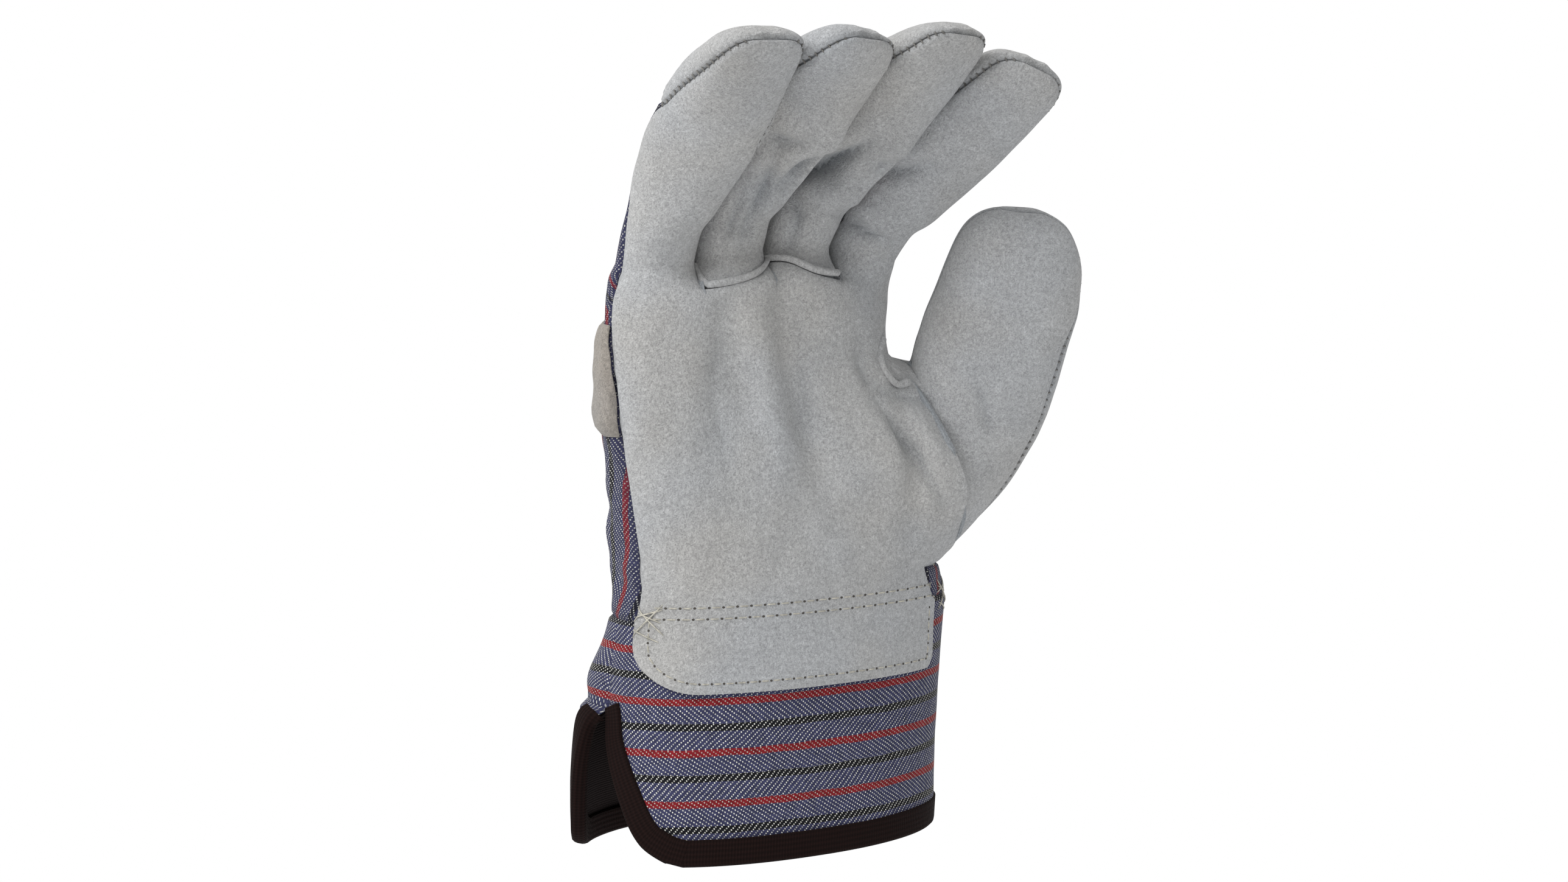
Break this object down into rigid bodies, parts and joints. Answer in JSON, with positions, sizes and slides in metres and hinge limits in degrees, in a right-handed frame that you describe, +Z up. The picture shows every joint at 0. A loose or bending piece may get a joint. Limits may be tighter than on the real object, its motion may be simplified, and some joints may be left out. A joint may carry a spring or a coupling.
{
  "type": "rigger glove",
  "caption": "Right-hand work glove in worn shape: suede palm, curled fingers and thumb, striped cloth back, knuckle strap and a twill safety cuff with a bound side slit.",
  "frame": {"origin": "middle of the cuff's mouth, in the plane of the hem", "axes": "+Z up the hand towards the fingertips, the palm faces -Y, the thumb is on the +X side"},
  "size_m": [0.1524, 0.0943, 0.2414],
  "materials": {
    "suede": "brushed split leather",
    "striped_cloth": "herringbone twill with red and black stripes",
    "dark_cloth": "plain weave",
    "braid": "ribbed tape"
  },
  "bodies": {
    "root": {"palm": "suede", "ring_finger_front": "suede", "middle_finger_front": "suede", "little_fingertip_cap": "suede", "ring_fingertip_cap": "suede", "middle_fingertip_cap": "suede", "index_fingertip_cap": "suede", "index_finger_back": "suede", "thumb_back": "suede", "back": "striped_cloth", "knuckle_strap": "suede", "finger_base_welt": "suede", "thumb_crotch_welt": "suede", "cuff": "striped_cloth", "cuff_lining": "dark_cloth", "cuff_binding": "braid"}
  },
  "joints": []
}
